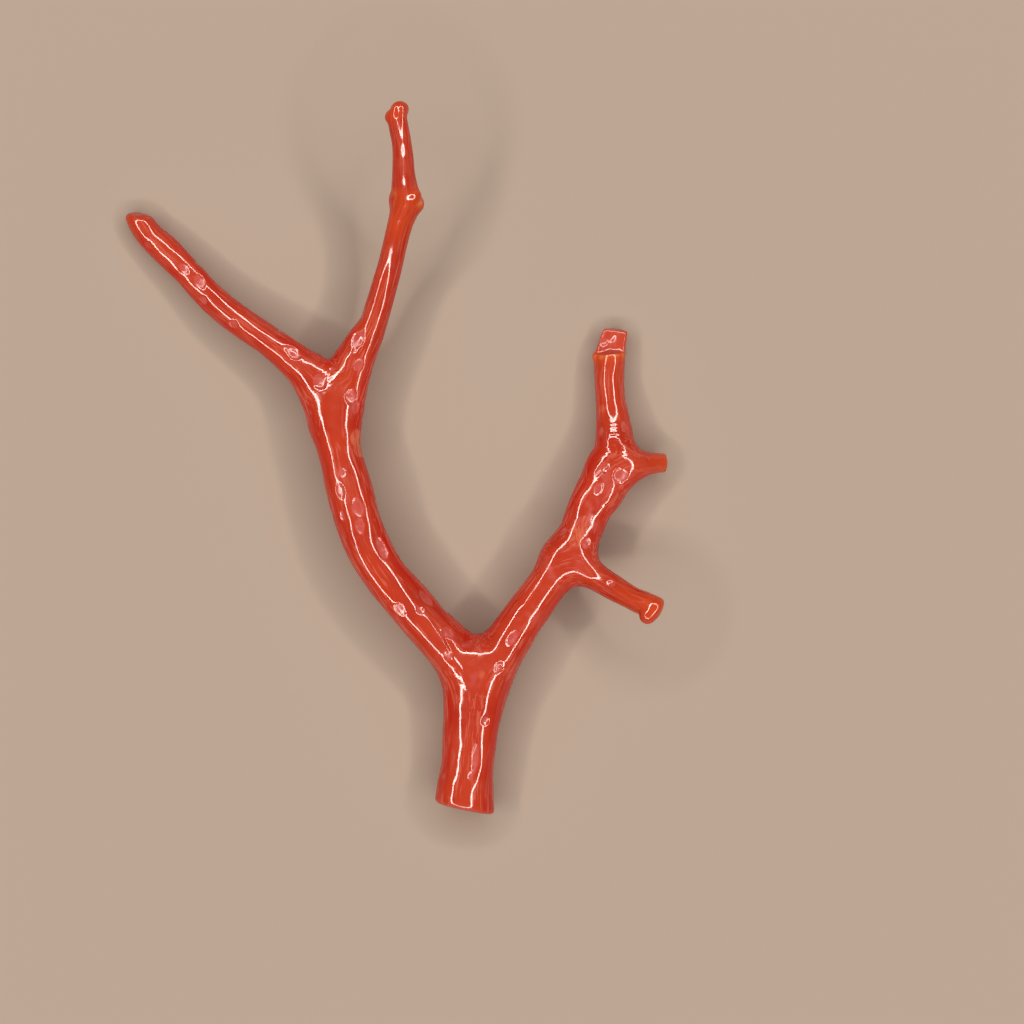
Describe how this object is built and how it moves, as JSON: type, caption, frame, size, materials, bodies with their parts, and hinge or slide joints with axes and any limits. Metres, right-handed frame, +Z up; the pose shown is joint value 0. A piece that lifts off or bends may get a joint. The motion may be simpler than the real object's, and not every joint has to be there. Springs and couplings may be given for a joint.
{
  "type": "red coral branch",
  "caption": "Polished natural red coral branch with forked tapering limbs and short side twigs, cut off flat at the trunk and lying on its side.",
  "frame": {"origin": "middle of the bounding box in X and Y, at its lowest point, which is the surface the coral lies on", "axes": "+X to the right seen from above with the tips away from the viewer, +Y from the flat cut towards the tips, +Z up"},
  "size_m": [0.0476, 0.0612, 0.0118],
  "materials": {
    "red_coral": "polished",
    "orange_coral": "polished"
  },
  "bodies": {
    "root": {"trunk": "red_coral", "left_branch": "red_coral", "left_twig": "red_coral", "upper_twig": "red_coral", "right_branch": "red_coral", "right_tip": "orange_coral", "lower_side_twig": "orange_coral", "side_stub": "orange_coral"}
  },
  "joints": []
}
